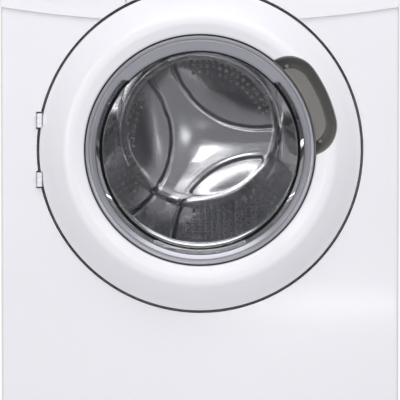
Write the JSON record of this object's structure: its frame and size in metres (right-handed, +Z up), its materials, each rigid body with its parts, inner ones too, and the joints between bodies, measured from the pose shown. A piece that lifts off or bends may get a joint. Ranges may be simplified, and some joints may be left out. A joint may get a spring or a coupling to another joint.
{
  "type": "washing machine",
  "caption": "Freestanding front-loading washing machine, white, with a large domed ring door, oblique glass bowl, steel drum, detergent drawer and filter flap",
  "frame": {"origin": "On the floor, under the middle of the machine's overall box", "axes": "+Z up, the front faces -Y, +X to the right seen from the front"},
  "size_m": [0.6, 0.56, 0.85],
  "materials": {
    "white_paint": "white baked enamel on steel, smooth and glossy",
    "white_plastic": "white moulded plastic, satin gloss",
    "dark_plastic": "dark grey moulded plastic, fine grain",
    "grey_plastic": "warm grey moulded plastic",
    "silver_plastic": "plastic painted silver",
    "display_black": "smoked black window",
    "clear_glass": "pressed clear glass",
    "stainless": "stainless steel, brushed",
    "galvanised": "zinc-coated sheet steel",
    "spring_steel": "zinc-plated spring steel",
    "cast_aluminium": "die-cast aluminium",
    "tub_plastic": "filled polypropylene",
    "lifter_plastic": "grey polypropylene",
    "rubber_grey": "grey moulded rubber",
    "rubber_black": "black ribbed rubber",
    "concrete": "cast concrete",
    "board": "green circuit board",
    "white_matte": "white moulded plastic"
  },
  "bodies": {
    "cabinet": {"left_side_panel": "white_paint", "right_side_panel": "white_paint", "front_panel": "white_paint", "rear_panel": "galvanised", "rear_access_cover": "galvanised", "base_tray": "dark_plastic", "worktop": "white_plastic", "kick_plinth": "white_plastic", "control_panel": "white_plastic", "display_window": "display_black", "control_board": "board", "dispenser_housing": "tub_plastic", "levelling_feet": "rubber_black", "door_lock": "white_matte", "hinge_bracket": "galvanised", "hinge_pins": "spring_steel", "panel_screws": "galvanised", "transit_hole_plugs": "dark_plastic", "inlet_valve": "white_matte", "inlet_hose": "white_matte", "dispenser_hose": "rubber_grey", "drain_pump": "grey_plastic", "sump_hose": "rubber_black", "drain_hose": "grey_plastic", "cable_gland": "dark_plastic", "tub_rear": "tub_plastic", "tub_front": "tub_plastic", "door_gasket": "rubber_grey", "gasket_clamps": "spring_steel", "upper_counterweight": "concrete", "front_counterweight": "concrete", "suspension_springs": "spring_steel", "damper_cylinders": "dark_plastic", "damper_rods": "spring_steel", "heating_element": "stainless", "drive_motor": "cast_aluminium", "drive_belt": "rubber_black", "drum_bearings": "stainless"},
    "drum": {"drum_shell": "stainless", "drum_back": "stainless", "drum_lifters": "lifter_plastic", "drum_spider": "cast_aluminium", "drum_shaft": "spring_steel", "drum_pulley": "cast_aluminium"},
    "rotor": {"motor_pulley": "spring_steel"},
    "door": {"door_frame": "white_plastic", "door_bezel": "silver_plastic", "door_inner_frame": "dark_plastic", "door_glass": "clear_glass", "door_hinge_arm": "galvanised", "handle_scoop": "grey_plastic"},
    "grip": {"handle_lever": "dark_plastic"},
    "hook": {"latch_hook": "galvanised"},
    "flap": {"filter_flap": "white_plastic"},
    "filter": {"pump_filter": "grey_plastic"},
    "drawer": {"drawer_front": "white_plastic", "drawer_tray": "white_matte"},
    "knob": {"programme_knob": "silver_plastic"},
    "start": {"start_button": "silver_plastic"},
    "option": {"option_button": "silver_plastic"}
  },
  "joints": [
    {"name": "door_hinge", "type": "hinge", "parent": "cabinet", "child": "door", "pos_m": [-0.242, -0.25, 0.49], "axis": [0, 0, -1], "range_deg": [0, 145]},
    {"name": "grip_pivot", "type": "hinge", "parent": "door", "child": "grip", "pos_m": [0.15506, -0.2675, 0.55969], "axis": [0.4099, 0, -0.9121], "range_deg": [0, 14], "stiffness_Nm_per_rad": 0.6},
    {"name": "hook_pivot", "type": "hinge", "parent": "door", "child": "hook", "pos_m": [0.18242, -0.233, 0.57198], "axis": [-0.4099, 0, 0.9121], "range_deg": [0, 14]},
    {"name": "drum_axle", "type": "hinge", "parent": "cabinet", "child": "drum", "pos_m": [0, 0.2, 0.5], "axis": [0, 1, 0], "continuous": true},
    {"name": "motor_shaft", "type": "hinge", "parent": "cabinet", "child": "rotor", "pos_m": [0, 0.2, 0.165], "axis": [0, 1, 0], "continuous": true},
    {"name": "flap_hinge", "type": "hinge", "parent": "cabinet", "child": "flap", "pos_m": [0.218, -0.242, 0.037], "axis": [1, 0, 0], "range_deg": [0, 95]},
    {"name": "filter_turn", "type": "hinge", "parent": "cabinet", "child": "filter", "pos_m": [0.215, -0.2, 0.06], "axis": [0, -1, 0], "range_deg": [0, 270]},
    {"name": "drawer_slide", "type": "slide", "parent": "cabinet", "child": "drawer", "axis": [0, -1, 0], "range_m": [0, 0.21]},
    {"name": "knob_turn", "type": "hinge", "parent": "cabinet", "child": "knob", "pos_m": [-0.042, -0.25, 0.781], "axis": [0, -1, 0], "continuous": true},
    {"name": "start_press", "type": "slide", "parent": "cabinet", "child": "start", "axis": [0, 1, 0], "range_m": [0, 0.0015], "stiffness_N_per_m": 800},
    {"name": "option_press", "type": "slide", "parent": "cabinet", "child": "option", "axis": [0, 1, 0], "range_m": [0, 0.0015], "stiffness_N_per_m": 800}
  ],
  "couplings": [
    {"joint": "motor_shaft", "follows": "drum_axle", "ratio": 15},
    {"joint": "hook_pivot", "follows": "grip_pivot", "ratio": 1}
  ]
}
